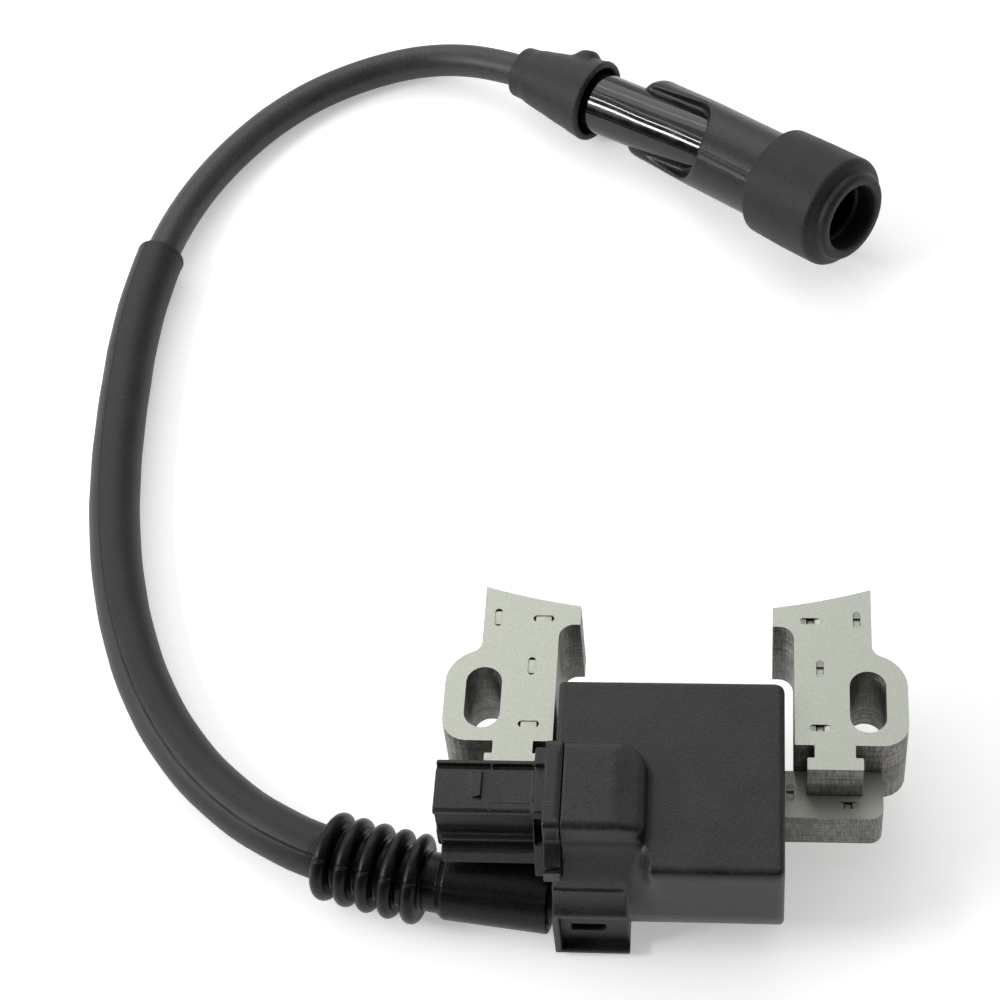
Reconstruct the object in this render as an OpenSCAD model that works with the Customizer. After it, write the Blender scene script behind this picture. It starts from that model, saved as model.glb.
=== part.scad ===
// Magneto ignition coil for a small petrol engine, in millimetres.
// X runs along the line through the two mounting slots, +Y points at the flywheel, +Z is up.
// The origin is midway between the slots, in the plane of the legs' undersides.

/* [Laminated core] */
// Distance between the centres of the two mounting slots
slot_spacing = 75; // [70:1:80]
// Width of a mounting slot, for an M6 screw with adjustment
slot_w = 7.1; // [6.4:0.1:7.6]
// End-to-end length of a mounting slot
slot_len = 14; // [11:0.5:15]
// Thickness of a leg's lamination stack
stack_t = 19; // [16:0.5:20]
// Radius of the pole faces, which follow the flywheel
pole_r = 125; // [110:1:140]

/* [Coil case] */
// Thickness of the moulded case's walls
case_wall = 1.8; // [1.4:0.1:2.2]
// Radius along the case's lower front edge
belly_r = 14; // [11:0.5:15]
// Height of the boss over the igniter, above the case's top
boss_h = 5; // [4:0.5:6]

/* [Windings] */
// Thickness of the primary winding
primary_t = 2.2; // [1.5:0.1:2.5]
// Number of sections in the secondary winding
sections = 6; // [4:1:8]

/* [High-tension lead] */
// Outside diameter of the lead
lead_d = 8; // [7:0.1:8]
// Outside diameter of the sleeve over the lead
sleeve_d = 11.2; // [10.6:0.1:11.2]

/* [Plug cap] */
// Outside diameter of the rubber ring at the cap's mouth
ring_d = 26.4; // [25:0.2:26.6]
// Diameter of the mouth that goes over the spark plug's insulator
mouth_d = 15.4; // [13.4:0.2:15.6]
// Diameter of the glossy insulator tube
tube_d = 14.8; // [13.6:0.2:15]

/* [Hidden] */

eps = 0.01;
gap = 0.05;                       // clearance left between pieces that are pressed or cast together
slot_x = slot_spacing / 2;
slot_r = slot_w / 2;

// Legs, drawn for the right one
limb_in = 23.3;                   // limb's inner side
limb_out = slot_x + 1;            // limb's outer side
leg_back = -10;                   // edge that meets the yoke
tip_in = 19.1;                    // inner corner of the pole shoe
tip_under = 17.4;                 // underside of the pole shoe
tip_fillet = 3;
pole_in_y = 21.9;                 // where the pole face starts, at the inner corner
pole_y = pole_in_y + sqrt(pole_r * pole_r - tip_in * tip_in);
lobe_r = 7.7;                     // round end of the ear around the slot
lobe_y = 3.4;
ear_r = 5;                        // lower corner of the ear
ear_fillet = 2.5;                 // hollow round where the ear meets the limb's outer side
ear_fillet_at = [limb_out + ear_fillet,
    lobe_y + sqrt(pow(lobe_r + ear_fillet, 2) - pow(limb_out + ear_fillet - slot_x, 2))];
neck = [27.1, 34.9];              // tongue's neck, from and to in X
head = [25.7, 36.4];              // tongue's head
neck_end = -12.8;
head_end = -15.45;
dimple_w = 1.6;
dimple_l = 4.3;
dimple_deep = 0.4;

// Yoke, half as thick as the legs
yoke_t = stack_t / 2;
yoke_x = 40.4;
yoke_front = -20.45;
yoke_corner = 2.4;
core_y = (leg_back + yoke_front) / 2;
core_w = leg_back - yoke_front;
core_z = yoke_t / 2;

// Case
case_x = [-22.4, 21.4];
case_y = [-38.3, 2.6];
case_z = [-11, 22];
edge_r = 1.2;
front_y = -40.5;                  // front beside the clip pocket
front_edge_r = 2;
front_belly_r = belly_r + 5.6;
shoulder_x = -4.6;                // left of here the front's upper part leans
lean_z = 12;                      // where the leaning part starts
lean_y = -34;                     // where it meets the level of the top
lean_slope = (lean_y - case_y[0]) / (case_z[1] - lean_z);
lean_wall = case_wall * sqrt(1 + lean_slope * lean_slope);
in_x = [case_x[0] + case_wall, case_x[1] - case_wall];
in_y = [case_y[0] + case_wall, case_y[1] - case_wall];
in_top = case_z[1] - case_wall;
fill_z = case_z[0] + 0.6;         // the potting stops short of the rim
boss_x = [-20.4, shoulder_x];
boss_y = [-33.7, -14.4];
boss_top = case_z[1] + boss_h;
boss_r = 5.2;
boss_front_r = 1.8;
boss_wall = 1.5;
tray_x = [-22.8, -8.2];
tray_z = -8.5;
tray_wall = 1.4;
tray_floor = 1.2;
tray_front = case_y[0] - 2.3;
tray_back_top = 5;
tray_roof = [4.2, 5.3, 10.7];     // underside, lip, and where the flare meets the case
tray_slot_x = [-19.3, -12.8];
tray_slot_z = [-3.5, -1.6];

// Earth strap
strap_y = [-17.5, -13];
strap_t = 0.8;
strap_foot = 3.5;
strap_drop = 4;                   // how far the strap runs down the case's side

// Connector
flange_x = [-23.8, -20.4];
flange_bottom = 14.5;
plug_y = [-28, -16.6];            // outside of the shroud
plug_z = [9.5, 23];
plug_x = -45;
shroud_deep = 16;
mouth_y = [-25.9, -18];           // opening for the plug
mouth_z = [11.5, 21.3];
recess_y = -26.9;                 // floor of the recess in the shroud's front wall
recess_z = [14.4, 21.4];
rail_z = [7.8, 11.3];             // rail below the shroud, with a slanting front
rail_ys = [-31.4, -29.9];
web_x = -26;                      // slanted web in front of the flange, open at its top
web_low = [-34.2, 9];
web_high = [-28.5, 23.4];
web_window_y = [-34, -27.9];
web_window_z = [16.2, 21.8];
ramp_x = [-38.4, -35.9];          // ramp that the plug's latch rides over
ramp_y = [-25.2, -19.8];
ramp_h = 0.95;
pin_z = 16.2;
pin_ys = [-24.4, -19.5];
pin_t = 0.8;
pin_w = 2.3;

// High-tension outlet: the boot leaves the case, and its bellows turns a little further
exit_at = [case_x[0], -32.7, -2];
exit_turn = 7;
boot_start = 1;
boot_len = 25.3;
bellows_turn = 14;
bellows_at = exit_at + boot_len * [-cos(exit_turn), sin(exit_turn), 0];
tower_len = 10;
tower_r = 5.3;
boot_r = 7;
neck_r = 6.2;
ring_r = 9;
ring_crest = 1.9;
ring_count = 5;
ring_pitch = 4.5;
lead_r = lead_d / 2;
bore_r = lead_r + gap;
boot_bore_r = lead_r + 0.3;

// Windings
tunnel = 0.2;                     // play between the yoke and the primary bobbin
bobbin_w = 1;
primary_in = tunnel + bobbin_w;   // distances outward from the yoke's surface
primary_out = primary_in + primary_t;
former_in = primary_out + gap;
former_out = former_in + 0.9;
secondary_out = former_out + 3;
rib_out = secondary_out + 0.75;
rib_w = 1;
pack_x = [-18.4, 17.2];
pitch = (pack_x[1] - pack_x[0] - rib_w) / sections;

// Igniter
board_x = [-20.3, 19.2];
board_y = [-31.8, -15.5];
board_z = 18.3;
board_t = 1.6;
board_top = board_z + board_t;
transistor_at = [-18.5, -24.5, board_top];
transistor_size = [10, 8, 4.4];
chip_at = [-18, -30.8, board_top];
chip_size = [4.9, 3.9, 1.7];
capacitor_r = 2.4;
capacitor_h = 4.6;
capacitor_at = [-9.6, -28.4, board_top];

// Terminal that joins the secondary winding to the lead
stud_r = 1.3;
stud_len = 6;
spike_r = 0.45;
spike_len = 4;
link_r = 0.4;
ht_link_x = -16;
ht_link_end = exit_at[1] - (ht_link_x - exit_at[0]) * tan(exit_turn) + stud_r + 3 * gap;
primary_link_at = [in_x[1] - 0.7, -17];

// Plug cap: the body and its mouth lie on one axis, the tube and the lead's boot on another.
// Heights along the body's axis count from the mouth's face, those along the tube's from the elbow.
mouth_at = [37.5, 138.4, 7.8];
body_turn = -41.5;
body_rise = 8;
elbow = -48;
tube_turn = -32;
tube_rise = 3;
elbow_at = mouth_at
    + elbow * [cos(body_turn) * cos(body_rise), sin(body_turn) * cos(body_rise), sin(body_rise)];
cap_r = ring_d / 2;
ring_back = -23;
collar_r = 10.6;
collar_h = 2.6;
ring_bevel = 1.2;
mouth_depth = 6;
body_r = 10.4;
body_back = -67;
body_back_r = 10;                 // the body narrows a little towards its back
body_waist = -46;
body_taper = 4;
socket_r = 8.2;
socket_end = -38;
tube_r = tube_d / 2;
tube_back = -42;
slot_half = tube_r + 0.2;         // opening in the body's back end, as wide as the tube
slot_end = -2.2;                  // where its round end is centred, counted from the elbow
slot_turn = 45;                   // turn of the opening about the tube, away from the top
slot_reach = 20;
elbow_lap = 2;                    // how far each straight of the tube runs on past the elbow
stub_r = tube_r - 0.2;            // tube's second straight, inside the body
lead_end = -31;
boot_back = -52.8;
rim_at = -29.6;
rim_r = 10.3;
rim_wall = 1.2;
rim_deep = 3.4;                   // recess between the rim and the tube
grip_r = 6.2;
knob_at = -40;
knob_turn = 46;                   // turn of the gripping knob about the tube, away from the top
knob_r = 3.3;
knob_base = 5;
knob_top = 10.6;
resistor_r = 3;
resistor_z = [-25, -5.2];
elbow_bore_end = -1;              // the resistor's bore runs on to the elbow
spring_z = [-52.2, -42.6];
spring_wire = 0.5;
clip_z = [-42.5, -25];
clip_r = 4.4;
clip_bore = 3.2;
clip_floor = 2;

// Route of the lead's centre line, from inside the outlet to inside the cap
route = [
    [-22.4, -32.7, -2], [-35, -31.15, -2], [-47.5, -29.6, -2], [-58.6, -26.9, -2],
    [-70.1, -23.3, -2.4], [-79, -18.9, -3.2], [-86.9, -13.6, -4.2], [-96.1, -5.4, -5],
    [-104.4, 4.7, -5.4], [-111.4, 16.1, -5.4], [-117, 28.5, -5.4], [-121.3, 41.6, -5.4],
    [-124.4, 55, -5.4], [-126.6, 69, -5.4], [-128.1, 84.1, -5.4], [-128.8, 99.1, -5.4],
    [-128.9, 113.1, -5.4], [-128.1, 127, -5.4], [-126.3, 139.9, -5.4], [-123.4, 152.2, -5.9],
    [-119.1, 164.3, -6.6], [-112.8, 176.1, -7], [-104.5, 187, -7], [-94.3, 196.2, -7],
    [-81.9, 203.1, -6.8], [-69, 205.9, -5.7], [-56.2, 203.9, -3.7], [-42.8, 197.8, -1.7],
    [-33.7, 192.1, -1.1], [-24.4, 186.3, -0.5]
];
steps = 2;                        // rings to each stretch of the route
sides = 10;
sleeve_first = 4 * steps;         // ring at which the sleeve starts
sleeve_last = 18 * steps;
jacket_bore = 0.95;
conductor_r = 0.8;

// ---------- helpers ----------

// A 2D shape in Y and Z, drawn out along X
module along_x(from, to) {
    translate([from, 0, 0])
        rotate([90, 0, 90])
            linear_extrude(to - from)
                children();
}

// A box given by its ranges in X, Y and Z
module block(x, y, z) {
    translate([x[0], y[0], z[0]])
        cube([x[1] - x[0], y[1] - y[0], z[1] - z[0]]);
}

// What a round of radius r takes off a square corner at the origin, whose sides run along +X and +Y
module corner_waste(r) {
    difference() {
        translate([-1, -1])
            square(r + 1);
        translate([r, r])
            circle(r, $fn = 96);
    }
}

// A rectangle with its own radius at each corner: lower left, lower right, upper right, upper left
module round_rect(x, y, r) {
    difference() {
        translate([x[0], y[0]])
            square([x[1] - x[0], y[1] - y[0]]);
        translate([x[0], y[0]])
            corner_waste(r[0]);
        translate([x[1], y[0]])
            mirror([1, 0])
                corner_waste(r[1]);
        translate([x[1], y[1]])
            rotate(180)
                corner_waste(r[2]);
        translate([x[0], y[1]])
            mirror([0, 1])
                corner_waste(r[3]);
    }
}

// Puts local +Z along the high-tension outlet, pointing out of the case
module at_exit(point, turn) {
    translate(point)
        rotate([0, 0, 180 - turn])
            rotate([0, 90, 0])
                children();
}

// Puts local +Z along the cap's body, pointing out of its mouth, with local -X on top
module at_mouth() {
    translate(mouth_at)
        rotate([0, 0, body_turn])
            rotate([0, 90 - body_rise, 0])
                children();
}

// Puts local +Z along the cap's tube, pointing at the elbow, with local -X on top
module at_elbow() {
    translate(elbow_at)
        rotate([0, 0, tube_turn])
            rotate([0, 90 - tube_rise, 0])
                children();
}

// A cylinder between two heights
module rod(r, z) {
    translate([0, 0, z[0]])
        cylinder(r = r, h = z[1] - z[0], $fn = 64);
}

// A square ring around the yoke, between two distances outward from the yoke's surface
module around_core(inner, outer, x) {
    difference() {
        core_block(outer, x);
        core_block(inner, [x[0] - 1, x[1] + 1]);
    }
}

// The yoke's section grown outward by a distance
module core_block(out, x) {
    block(x, [yoke_front - out, leg_back + out], [-out, yoke_t + out]);
}

// ---------- core ----------

module slot_2d() {
    half = slot_len / 2 - slot_r;
    for (s = [-1, 1])
        translate([slot_x, s * half])
            circle(slot_r, $fn = 96);
    translate([slot_x - slot_r, -half])
        square([slot_w, 2 * half]);
}

// Ear around the slot, with the web that fills the corner between it and the limb
module ear_2d() {
    ear_out = slot_x + lobe_r;
    translate([slot_x, lobe_y])
        circle(lobe_r, $fn = 128);
    translate([ear_out - ear_r, leg_back + ear_r])
        circle(ear_r, $fn = 96);
    translate([limb_in, leg_back])
        square([ear_out - ear_r - limb_in, ear_r + 1]);
    translate([slot_x, leg_back + ear_r])
        square([lobe_r, lobe_y - leg_back - ear_r]);
    polygon([[limb_in + 1, lobe_y], [slot_x, lobe_y], ear_fillet_at, [limb_in + 1, ear_fillet_at[1]]]);
}

// T-shaped tongue that the yoke holds, grown by a clearance where it is the yoke's socket
module tongue_2d(grow) {
    translate([neck[0] - grow, neck_end - 1])
        square([neck[1] - neck[0] + 2 * grow, leg_back - neck_end + 2]);
    translate([head[0] - grow, head_end - grow])
        square([head[1] - head[0] + 2 * grow, neck_end - head_end + 2 * grow]);
}

module leg_2d() {
    difference() {
        union() {
            translate([limb_in, leg_back])
                square([limb_out - limb_in, 40]);
            translate([tip_in, tip_under])
                square([limb_out - tip_in, 12]);
            difference() {
                translate([limb_in - tip_fillet, tip_under - tip_fillet])
                    square(tip_fillet + eps);
                translate([limb_in - tip_fillet, tip_under - tip_fillet])
                    circle(tip_fillet, $fn = 96);
            }
            ear_2d();
            tongue_2d(0);
        }
        slot_2d();
        translate(ear_fillet_at)
            circle(ear_fillet, $fn = 96);
        translate([0, pole_y])
            circle(pole_r, $fn = 360);
    }
}

// Dimples that lock the laminations together, pressed into the top face
module dimple(at, lying) {
    size = lying ? [dimple_l, dimple_w] : [dimple_w, dimple_l];
    translate([at[0] - size[0] / 2, at[1] - size[1] / 2, stack_t - dimple_deep])
        cube([size[0], size[1], 1]);
}

module right_leg() {
    color("silver")
        difference() {
            linear_extrude(stack_t)
                leg_2d();
            dimple([35.6, 19], false);
            dimple([26.5, 18.8], true);
            dimple([28.3, 7.4], false);
            dimple([28.2, -6.1], true);
        }
}

module left_leg() {
    mirror([1, 0, 0])
        right_leg();
}

module yoke() {
    color("silver")
        difference() {
            linear_extrude(yoke_t)
                difference() {
                    round_rect([-yoke_x, yoke_x], [yoke_front, leg_back - gap],
                        [yoke_corner, yoke_corner, 0.4, 0.4]);
                    for (s = [0, 1])
                        mirror([s, 0])
                            tongue_2d(gap);
                }
            for (s = [-1, 1])
                translate([s * 33.6 - dimple_l / 2, -18.4, yoke_t - dimple_deep])
                    cube([dimple_l, dimple_w, 1]);
        }
}

// ---------- case ----------

// What the leaning front takes off a square corner, moved back by a distance in Y
module lean_waste(back) {
    reach = 6;
    polygon([[case_y[0] + back - reach, lean_z - reach / lean_slope],
        [lean_y + back + reach * lean_slope, case_z[1] + reach],
        [case_y[0] + back - reach, case_z[1] + reach]]);
}

// Outline in Y and Z of the case behind the clip pocket
module left_outline() {
    difference() {
        round_rect(case_y, case_z, [belly_r, edge_r, edge_r, edge_r]);
        lean_waste(0);
    }
}

// Outline in Y and Z between the clip pocket and the boss's right side
module middle_outline() {
    difference() {
        right_outline();
        lean_waste(0);
    }
}

// Outline in Y and Z of the case's right part
module right_outline() {
    round_rect([front_y, case_y[1]], case_z, [front_belly_r, edge_r, edge_r, front_edge_r]);
}

// Plan of the case, which keeps its upright corners round
module case_plan() {
    round_rect(case_x, case_y, [edge_r, 2, 2, edge_r]);
    round_rect([tray_x[1], case_x[1]], [front_y, case_y[1]], [0.5, 2, 2, edge_r]);
}

module boss_plan(inset) {
    round_rect([boss_x[0] + (inset > 0 ? 1 : 0), boss_x[1] - inset],
        [boss_y[0] + inset, boss_y[1] - inset],
        [0.2, boss_front_r, boss_r - inset, 0.2]);
}

module case_solid() {
    intersection() {
        union() {
            along_x(case_x[0], tray_x[1])
                left_outline();
            along_x(tray_x[1] - eps, shoulder_x)
                middle_outline();
            along_x(shoulder_x - eps, case_x[1])
                right_outline();
        }
        translate([0, 0, case_z[0] - 1])
            linear_extrude(case_z[1] - case_z[0] + 2)
                case_plan();
    }
    translate([0, 0, case_z[1] - 4])
        linear_extrude(boss_h + 4)
            boss_plan(0);
}

// Inside of the case, open at the bottom
module case_hollow(inset, bottom) {
    along_x(in_x[0] + inset, in_x[1] - inset) {
        difference() {
            round_rect([in_y[0] + inset, in_y[1] - inset],
                [case_z[0] + case_wall + inset, in_top - inset],
                [belly_r - case_wall, 0.3, 0.3, 0.3]);
            lean_waste(lean_wall + inset);
        }
        translate([case_y[0] + belly_r, bottom])
            square([in_y[1] - inset - case_y[0] - belly_r, 5]);
    }
    translate([0, 0, in_top - 3])
        linear_extrude(boss_top - boss_wall - inset - in_top + 3)
            boss_plan(boss_wall + inset);
}

// Pocket below the front of the case that holds a harness clip
module tray() {
    into = case_y[0] + 1;
    base = tray_z - tray_floor;
    block([case_x[0], tray_x[1]], [case_y[0], case_y[0] + 8], [base, tray_back_top]);
    block(tray_x, [tray_front, into], [base, tray_z]);
    block([tray_x[0], tray_x[0] + tray_wall], [tray_front, into], [base, tray_roof[0] + 0.4]);
    along_x(case_x[0] + 0.2, tray_x[1] - 0.2)
        polygon([[into, tray_roof[2]], [case_y[0] + 0.3, tray_roof[2]], [tray_front, tray_roof[1]],
            [tray_front, tray_roof[0]], [into, tray_roof[0]]]);
}

module coil_case() {
    color("#232427")
        difference() {
            union() {
                case_solid();
                tray();
                at_exit(exit_at, exit_turn)
                    rod(tower_r, [-1, tower_len]);
            }
            case_hollow(0, case_z[0] - 2);
            core_block(tunnel, [case_x[0] - 1, case_x[1] + 1]);
            block([case_x[0] - 3, flange_x[1] + gap], [case_y[0] - 1, boss_y[1] + 0.1 + gap],
                [flange_bottom - gap, boss_top + 1]);
            block(tray_slot_x, [case_y[0] - 1, case_y[0] + 1], tray_slot_z);
            at_exit(exit_at, exit_turn) {
                rod(bore_r, [-0.2, tower_len + 1]);
                rod(stud_r + gap, [-4, 1]);
            }
        }
}

// ---------- windings ----------

module primary_bobbin() {
    color("ivory") {
        around_core(tunnel, primary_in, [in_x[0], in_x[1]]);
        for (x = [pack_x[0] - 1.2, pack_x[1]])
            around_core(tunnel, primary_out, [x, x + 1.2]);
    }
}

module primary_winding() {
    color("#b5651d")
        around_core(primary_in + gap, primary_out, [pack_x[0] + gap, pack_x[1] - gap]);
}

module secondary_bobbin() {
    color("ivory") {
        around_core(former_in, former_out, pack_x);
        for (i = [0 : sections])
            around_core(former_in, rib_out, [pack_x[0] + i * pitch, pack_x[0] + i * pitch + rib_w]);
    }
}

module secondary_winding() {
    color("#a0522d")
        for (i = [0 : sections - 1])
            around_core(former_out + gap, secondary_out,
                [pack_x[0] + i * pitch + rib_w + gap, pack_x[0] + (i + 1) * pitch - gap]);
}

// ---------- igniter ----------

module igniter_board() {
    color("darkgreen")
        block(board_x, board_y, [board_z, board_top]);
}

module power_transistor() {
    color("#202020")
        translate(transistor_at)
            cube(transistor_size);
}

module trigger_chip() {
    color("#202020")
        translate(chip_at)
            cube(chip_size);
}

module charge_capacitor() {
    color("#444466")
        translate(capacitor_at)
            cylinder(r = capacitor_r, h = capacitor_h, $fn = 48);
}

// Casting that fills the case around everything inside it
module potting() {
    color("#1b1b1d")
        difference() {
            intersection() {
                case_hollow(gap, fill_z);
                block([-50, 50], [-50, 50], [fill_z, 60]);
            }
            core_block(primary_in + gap, [in_x[0] - 1, in_x[1] + 1]);
            core_block(rib_out + gap, [pack_x[0] - 1.2 - gap, pack_x[1] + 1.2 + gap]);
            block([board_x[0] - 2, board_x[1] + gap], [board_y[0] - gap, board_y[1] + gap],
                [board_z - gap, board_top + gap]);
            translate(transistor_at - [gap, gap, gap])
                cube(transistor_size + [2 * gap, 2 * gap, 2 * gap]);
            translate(chip_at - [gap, gap, gap])
                cube(chip_size + [2 * gap, 2 * gap, 2 * gap]);
            translate(capacitor_at - [0, 0, gap])
                cylinder(r = capacitor_r + gap, h = capacitor_h + 2 * gap, $fn = 48);
            block([in_x[0] - 1, flange_x[1] + gap], [case_y[0], boss_y[1] + 1],
                [flange_bottom - 2 * gap, boss_top]);
            for (y = pin_ys)
                block([in_x[0], in_x[0] + pin_t + 0.4], [y - pin_w / 2 - gap, y + pin_w / 2 + gap],
                    [pin_z - gap, board_z]);
            at_exit(exit_at, exit_turn)
                rod(stud_r + gap, [-stud_len - case_wall - gap, 0]);
            block([ht_link_x - 0.5, ht_link_x + 0.5], [ht_link_end, yoke_front - rib_out],
                [exit_at[2] - 0.5, exit_at[2] + 0.5]);
            translate([primary_link_at[0], primary_link_at[1], core_z])
                cylinder(r = link_r + gap, h = board_z - core_z, $fn = 24);
        }
}

// ---------- connector ----------

module flange_outline() {
    round_rect([boss_y[0], boss_y[1] + 0.1], [flange_bottom, boss_top], [0.2, 0.2, 1, 1]);
    difference() {
        round_rect([case_y[0], boss_y[1] + 0.1], [flange_bottom, case_z[1]], [0.2, 0.2, 0.2, 0.2]);
        lean_waste(-0.2);
    }
}

module shroud_outline() {
    difference() {
        round_rect(plug_y, plug_z, [0.6, 0.6, 0.8, 0.8]);
        translate([plug_y[0] - 1, recess_z[0]])
            square([recess_y - plug_y[0] + 1, recess_z[1] - recess_z[0]]);
    }
    translate([plug_y[0] - 0.9, plug_z[0] + 3.2])
        square([2, 1]);
    polygon([[rail_ys[0], rail_z[0]], [plug_y[0] + 1, rail_z[0]], [plug_y[0] + 1, rail_z[1]],
        [rail_ys[1], rail_z[1]]]);
}

module connector_housing() {
    color("#26272a")
        difference() {
            union() {
                along_x(flange_x[0], flange_x[1])
                    flange_outline();
                along_x(plug_x, flange_x[0] + eps)
                    shroud_outline();
                along_x(web_x, flange_x[0] + eps)
                    polygon([web_low, [plug_y[1] + 1, web_low[1]], [plug_y[1] + 1, web_high[1]], web_high]);
                translate([0, ramp_y[1], plug_z[1]])
                    rotate([90, 0, 0])
                        linear_extrude(ramp_y[1] - ramp_y[0])
                            polygon([[ramp_x[0], -1], [ramp_x[1], -1], [ramp_x[1], ramp_h], [ramp_x[0], 0]]);
            }
            block([plug_x - 1, plug_x + shroud_deep], mouth_y, mouth_z);
            block([web_x + 0.4, flange_x[0] - 0.5], web_window_y, web_window_z);
            for (y = pin_ys)
                block([plug_x, flange_x[1] + 1], [y - pin_w / 2 - gap, y + pin_w / 2 + gap],
                    [pin_z - gap, pin_z + pin_t + gap]);
        }
}

// Flat blade with a foot that turns up to the board
module pin(y) {
    color("goldenrod") {
        block([plug_x + 3, in_x[0] + 1.1], [y - pin_w / 2, y + pin_w / 2], [pin_z, pin_z + pin_t]);
        block([in_x[0] + 0.3, in_x[0] + 1.1], [y - pin_w / 2, y + pin_w / 2],
            [pin_z + pin_t - eps, board_z - gap]);
    }
}

module signal_pin() {
    pin(pin_ys[0]);
}

module stop_pin() {
    pin(pin_ys[1]);
}

// Earth strap from the case to the underside of the yoke
module ground_strap() {
    from = case_x[1] + 0.1;
    color("#c8c8c4") {
        block([from, from + strap_t], strap_y, [-strap_drop, -gap]);
        block([from, from + strap_foot], strap_y, [-gap - strap_t, -gap]);
    }
}

// ---------- high-tension outlet and lead ----------

module ht_terminal() {
    color("goldenrod")
        at_exit(exit_at, exit_turn) {
            rod(stud_r, [-stud_len - case_wall, -gap]);
            rod(spike_r, [-1, spike_len]);
        }
}

// Wire from the first section of the secondary winding to the terminal
module ht_link() {
    start = yoke_front - secondary_out - gap;
    color("#b5651d")
        translate([ht_link_x, start, exit_at[2]])
            rotate([90, 0, 0])
                cylinder(r = link_r, h = start - ht_link_end, $fn = 24);
}

// Wire from the primary bobbin's end up to the board
module primary_link() {
    from = yoke_t + primary_in + gap;
    color("#b5651d")
        translate([primary_link_at[0], primary_link_at[1], from])
            cylinder(r = link_r, h = board_z - gap - from, $fn = 24);
}

// Rubber boot over the outlet, with a neck and a bellows
module outlet_boot() {
    color("#1d1e20") {
        at_exit(exit_at, exit_turn)
            rotate_extrude($fn = 96)
                polygon([[tower_r + gap, boot_start], [boot_r + 0.2, boot_start], [boot_r, boot_len - 3.5],
                    [boot_r - 1.2, boot_len - 2.5], [boot_r - 1.2, boot_len], [boot_bore_r, boot_len],
                    [boot_bore_r, tower_len + gap], [tower_r + gap, tower_len + gap]]);
        at_exit(bellows_at, bellows_turn)
            rotate_extrude($fn = 96)
                difference() {
                    union() {
                        translate([boot_bore_r, -1.2])
                            square([neck_r - boot_bore_r, ring_count * ring_pitch + 1.2]);
                        for (i = [0 : ring_count - 1])
                            translate([0, (i + 0.5) * ring_pitch])
                                bellows_ring();
                    }
                    translate([-1, -2])
                        square([boot_bore_r + 1.5, 40]);
                }
    }
}

// Half section of one ring of the bellows
module bellows_ring() {
    translate([ring_r - ring_crest, 0])
        circle(ring_crest, $fn = 48);
    translate([0, -ring_crest])
        square([ring_r - ring_crest, 2 * ring_crest]);
}

// Point on a smooth curve through four route points, at u from 0 to 1 between the middle two
function on_curve(a, b, c, d, u) =
    0.5 * (2 * b + (c - a) * u + (2 * a - 5 * b + 4 * c - d) * u * u
        + (3 * b - a - 3 * c + d) * u * u * u);

function route_point(i) = route[max(0, min(len(route) - 1, i))];

path = [for (i = [0 : len(route) - 2])
        for (k = [0 : steps - 1])
            on_curve(route_point(i - 1), route_point(i), route_point(i + 1), route_point(i + 2), k / steps),
    route[len(route) - 1]];

function heading(i) =
    let (d = path[min(i + 1, len(path) - 1)] - path[max(i - 1, 0)])
        d / norm(d);

function ring_at(i, r) =
    let (t = heading(i), side = cross(t, [0, 0, 1]), s = side / norm(side), up = cross(s, t))
        [for (k = [0 : sides - 1])
            path[i] + r * (cos(360 * k / sides) * s + sin(360 * k / sides) * up)];

function wall(start, rings, flip) =
    [for (i = [0 : rings - 2], k = [0 : sides - 1])
        let (k2 = (k + 1) % sides, a = start + i * sides, b = a + sides)
            flip ? [a + k, b + k, b + k2, a + k2] : [a + k, a + k2, b + k2, b + k]];

// A tube along rings first to last of the path; bore 0 makes it solid
module swept(r, bore, first, last) {
    rings = last - first + 1;
    outside = [for (i = [first : last]) each ring_at(i, r)];
    inside = bore > 0 ? [for (i = [first : last]) each ring_at(i, bore)] : [];
    n = rings * sides;
    ends = bore > 0
        ? [for (k = [0 : sides - 1]) let (k2 = (k + 1) % sides)
            each [[k, n + k, n + k2, k2],
                [n - sides + k, n - sides + k2, 2 * n - sides + k2, 2 * n - sides + k]]]
        : [[for (k = [0 : sides - 1]) sides - 1 - k], [for (k = [0 : sides - 1]) n - sides + k]];
    polyhedron(concat(outside, inside),
        concat(wall(0, rings, false), bore > 0 ? wall(n, rings, true) : [], ends),
        convexity = 10);
}

module lead_jacket() {
    color("#202123")
        swept(lead_r, jacket_bore, 0, len(path) - 1);
}

module lead_conductor() {
    color("#b87333")
        swept(conductor_r, 0, 1, len(path) - 2);
}

module lead_sleeve() {
    color("#1d1e20")
        swept(sleeve_d / 2, lead_r + 0.15, sleeve_first, sleeve_last);
}

// ---------- plug cap ----------

// Rubber boot that seals the lead into the tube, with a gripping knob
module cap_lead_boot() {
    inner_rim = rim_r - rim_wall;
    recess = rim_at - rim_deep;
    color("#1d1e20")
        at_elbow()
            difference() {
                union() {
                    rotate_extrude($fn = 96)
                        polygon([[0, boot_back], [grip_r, boot_back], [grip_r + 0.4, boot_back + 4],
                            [rim_r, rim_at], [0, rim_at]]);
                    rotate([0, 0, -knob_turn])
                        translate([-knob_base, 0, knob_at])
                            rotate([0, -90, 0])
                                cylinder(r = knob_r, h = knob_top - knob_base, $fn = 48);
                }
                rod(bore_r + 0.4, [boot_back - 1, rim_at]);
                rod(tube_r + gap, [tube_back - gap, rim_at + 1]);
                translate([0, 0, recess])
                    cylinder(r1 = inner_rim - 0.4, r2 = inner_rim, h = rim_deep + eps, $fn = 96);
            }
}

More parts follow.
